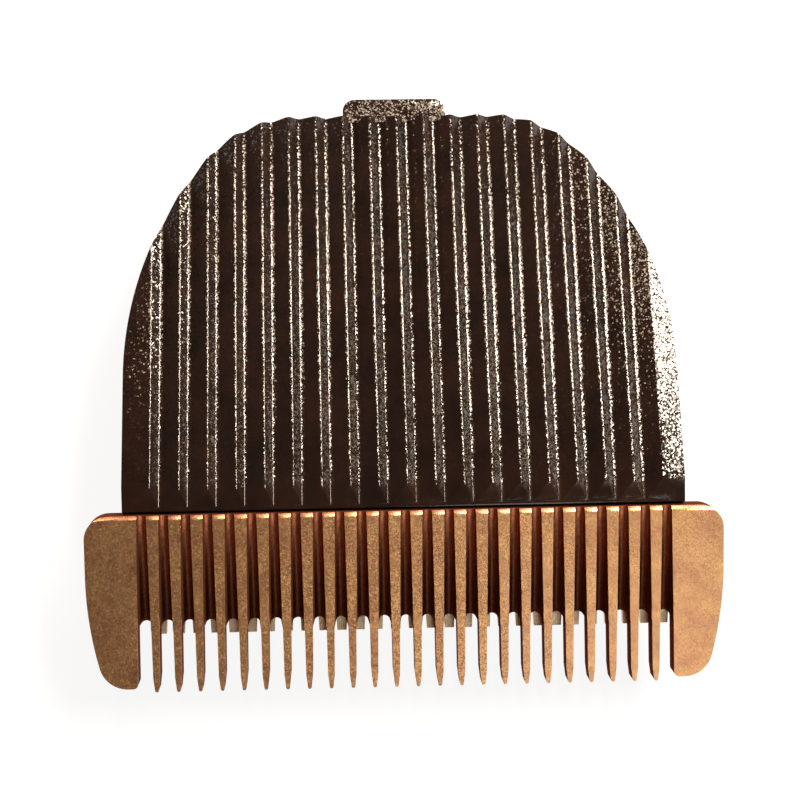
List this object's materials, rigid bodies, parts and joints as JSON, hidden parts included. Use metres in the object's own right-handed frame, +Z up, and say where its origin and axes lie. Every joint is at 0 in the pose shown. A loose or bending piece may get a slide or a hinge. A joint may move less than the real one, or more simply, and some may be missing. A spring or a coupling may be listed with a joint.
{
  "type": "hair clipper blade",
  "caption": "Clip-on blade set for a hair clipper: ribbed D-shaped plastic housing with a rear hook, ground toothed steel fixed blade and a sprung sliding moving blade behind it.",
  "frame": {"origin": "centre of the part's outline, on the plane of the back rim it lies on", "axes": "+X across the teeth, the tooth tips point to -Y and the rear hook to +Y, +Z up, out of the ribbed skin side"},
  "size_m": [0.0442, 0.0426, 0.0093],
  "materials": {
    "housing_plastic": "fine spark-eroded texture, glossy",
    "coated_steel": "ground, with a copper-gold hard coating",
    "cutter_steel": "lapped",
    "drive_plastic": "moulded, satin",
    "spring_steel": "drawn wire",
    "screw_steel": "nickel plated"
  },
  "bodies": {
    "housing": {"blade_housing": "housing_plastic", "fixed_blade": "coated_steel", "tension_spring": "spring_steel", "blade_screw_left": "screw_steel", "blade_screw_right": "screw_steel"},
    "cutter": {"moving_blade": "cutter_steel", "drive_block": "drive_plastic"}
  },
  "joints": [
    {"name": "cutter_slide", "type": "slide", "parent": "housing", "child": "cutter", "axis": [1, 0, 0], "range_m": [-0.00184, 0.00076]}
  ]
}
